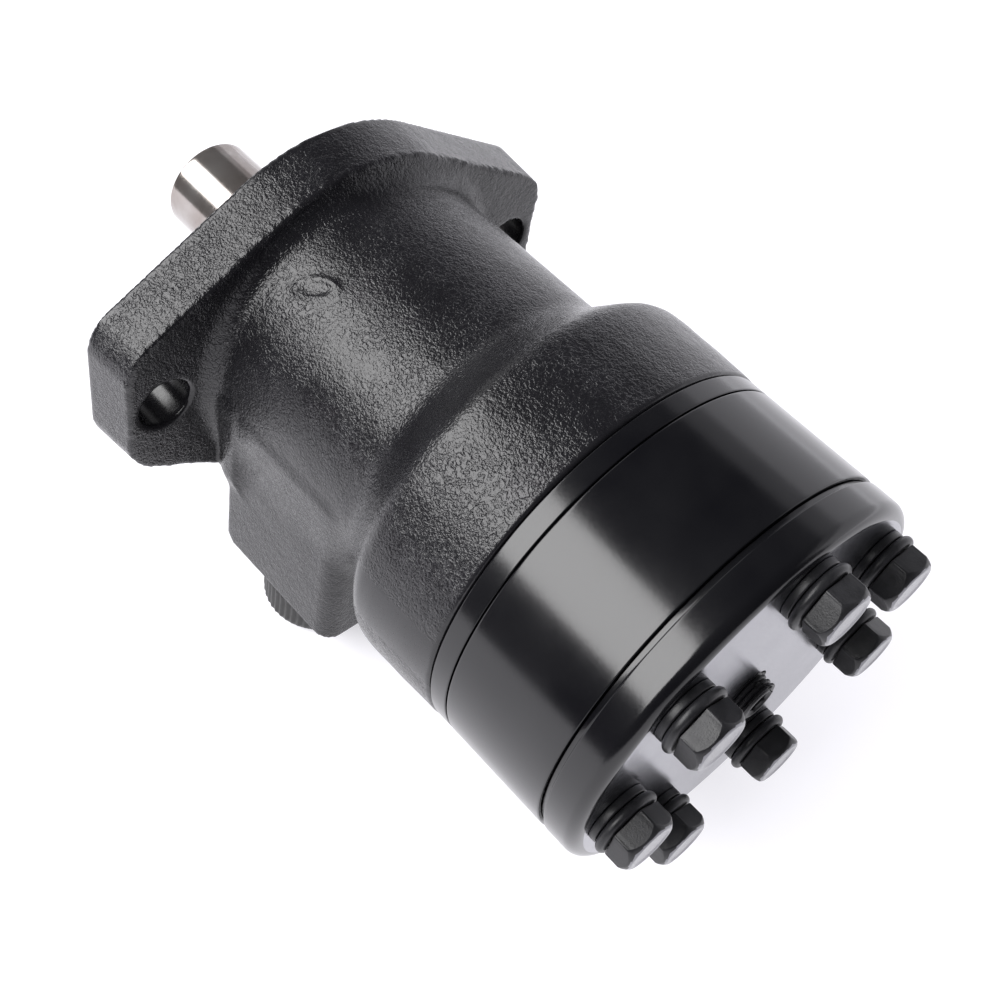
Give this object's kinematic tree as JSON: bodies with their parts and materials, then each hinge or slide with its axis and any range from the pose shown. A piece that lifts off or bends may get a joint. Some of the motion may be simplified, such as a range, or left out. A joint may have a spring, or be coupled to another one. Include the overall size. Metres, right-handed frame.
{
  "type": "orbital hydraulic motor",
  "caption": "Low-speed orbital hydraulic motor: oval mounting flange, cast housing with plugged ports, roller gear set, bolted end cover and plain output shaft.",
  "frame": {"origin": "on the shaft's axis, in the plane of the flange's mounting face", "axes": "+X out along the output shaft, +Z away from the port face, +Y completes the right-handed frame"},
  "size_m": [0.2037, 0.128, 0.1205],
  "materials": {
    "cast_black": "cast surface under black semi-gloss paint",
    "satin_black": "machined, satin black coating",
    "black_oxide": "black oxide, satin",
    "polished_steel": "ground and polished",
    "ground_steel": "ground",
    "brass_washer": "soft sealing washer",
    "black_rubber": "moulded",
    "black_plastic": "moulded, matte"
  },
  "bodies": {
    "body": {"housing": "cast_black", "dust_seal": "black_rubber", "shaft_seal": "black_rubber", "thrust_race_front": "ground_steel", "spacer_plate": "satin_black", "stator_ring": "satin_black", "end_cover": "satin_black", "cover_centre_plug": "black_oxide", "oring_housing": "black_rubber", "oring_stator": "black_rubber", "oring_cover": "black_rubber", "cover_bolt_1": "black_oxide", "cover_bolt_2": "black_oxide", "cover_bolt_3": "black_oxide", "cover_bolt_4": "black_oxide", "cover_bolt_5": "black_oxide", "cover_bolt_6": "black_oxide", "cover_bolt_7": "black_oxide", "flat_washer_1": "black_oxide", "flat_washer_2": "black_oxide", "flat_washer_3": "black_oxide", "flat_washer_4": "black_oxide", "flat_washer_5": "black_oxide", "flat_washer_6": "black_oxide", "flat_washer_7": "black_oxide", "lock_washer_1": "black_oxide", "lock_washer_2": "black_oxide", "lock_washer_3": "black_oxide", "lock_washer_4": "black_oxide", "lock_washer_5": "black_oxide", "lock_washer_6": "black_oxide", "lock_washer_7": "black_oxide", "port_plug_a": "black_plastic", "port_plug_b": "black_plastic", "drain_plug": "ground_steel", "drain_washer": "brass_washer"},
    "shaft": {"output_shaft": "polished_steel", "shaft_key": "ground_steel", "thrust_race_rear": "ground_steel"},
    "cage": {"thrust_needle_cage": "ground_steel"},
    "spacer": {"thrust_spacer": "ground_steel"},
    "star": {"star_rotor": "ground_steel"},
    "link": {"drive_link": "ground_steel"},
    "roller_1_body": {"roller_1": "ground_steel"},
    "roller_2_body": {"roller_2": "ground_steel"},
    "roller_3_body": {"roller_3": "ground_steel"},
    "roller_4_body": {"roller_4": "ground_steel"},
    "roller_5_body": {"roller_5": "ground_steel"},
    "roller_6_body": {"roller_6": "ground_steel"},
    "roller_7_body": {"roller_7": "ground_steel"}
  },
  "joints": [
    {"name": "shaft_spin", "type": "hinge", "parent": "body", "child": "shaft", "pos_m": [0, 0, 0], "axis": [1, 0, 0], "continuous": true},
    {"name": "needle_cage_spin", "type": "hinge", "parent": "body", "child": "cage", "pos_m": [-0.0161, 0, 0], "axis": [1, 0, 0], "continuous": true},
    {"name": "rotor_orbit", "type": "hinge", "parent": "body", "child": "spacer", "pos_m": [-0.12, 0, 0], "axis": [1, 0, 0], "continuous": true},
    {"name": "rotor_spin", "type": "hinge", "parent": "spacer", "child": "star", "pos_m": [-0.12, 0, -0.0031], "axis": [1, 0, 0], "continuous": true},
    {"name": "link_spin", "type": "hinge", "parent": "spacer", "child": "link", "pos_m": [-0.054, 0, 0], "axis": [0.999, 0, 0.0455], "continuous": true},
    {"name": "roller_1_spin", "type": "hinge", "parent": "body", "child": "roller_1_body", "pos_m": [-0.12, 0, -0.0322], "axis": [1, 0, 0], "continuous": true},
    {"name": "roller_2_spin", "type": "hinge", "parent": "body", "child": "roller_2_body", "pos_m": [-0.12, 0.02517, -0.02008], "axis": [1, 0, 0], "continuous": true},
    {"name": "roller_3_spin", "type": "hinge", "parent": "body", "child": "roller_3_body", "pos_m": [-0.12, 0.03139, 0.00717], "axis": [1, 0, 0], "continuous": true},
    {"name": "roller_4_spin", "type": "hinge", "parent": "body", "child": "roller_4_body", "pos_m": [-0.12, 0.01397, 0.02901], "axis": [1, 0, 0], "continuous": true},
    {"name": "roller_5_spin", "type": "hinge", "parent": "body", "child": "roller_5_body", "pos_m": [-0.12, -0.01397, 0.02901], "axis": [1, 0, 0], "continuous": true},
    {"name": "roller_6_spin", "type": "hinge", "parent": "body", "child": "roller_6_body", "pos_m": [-0.12, -0.03139, 0.00717], "axis": [1, 0, 0], "continuous": true},
    {"name": "roller_7_spin", "type": "hinge", "parent": "body", "child": "roller_7_body", "pos_m": [-0.12, -0.02517, -0.02008], "axis": [1, 0, 0], "continuous": true}
  ],
  "couplings": [
    {"joint": "needle_cage_spin", "follows": "shaft_spin", "ratio": 0.5},
    {"joint": "rotor_orbit", "follows": "shaft_spin", "ratio": -6},
    {"joint": "rotor_spin", "follows": "shaft_spin", "ratio": 7},
    {"joint": "link_spin", "follows": "shaft_spin", "ratio": 7},
    {"joint": "roller_1_spin", "follows": "shaft_spin", "ratio": -3.516},
    {"joint": "roller_2_spin", "follows": "shaft_spin", "ratio": -3.516},
    {"joint": "roller_3_spin", "follows": "shaft_spin", "ratio": -3.516},
    {"joint": "roller_4_spin", "follows": "shaft_spin", "ratio": -3.516},
    {"joint": "roller_5_spin", "follows": "shaft_spin", "ratio": -3.516},
    {"joint": "roller_6_spin", "follows": "shaft_spin", "ratio": -3.516},
    {"joint": "roller_7_spin", "follows": "shaft_spin", "ratio": -3.516}
  ]
}
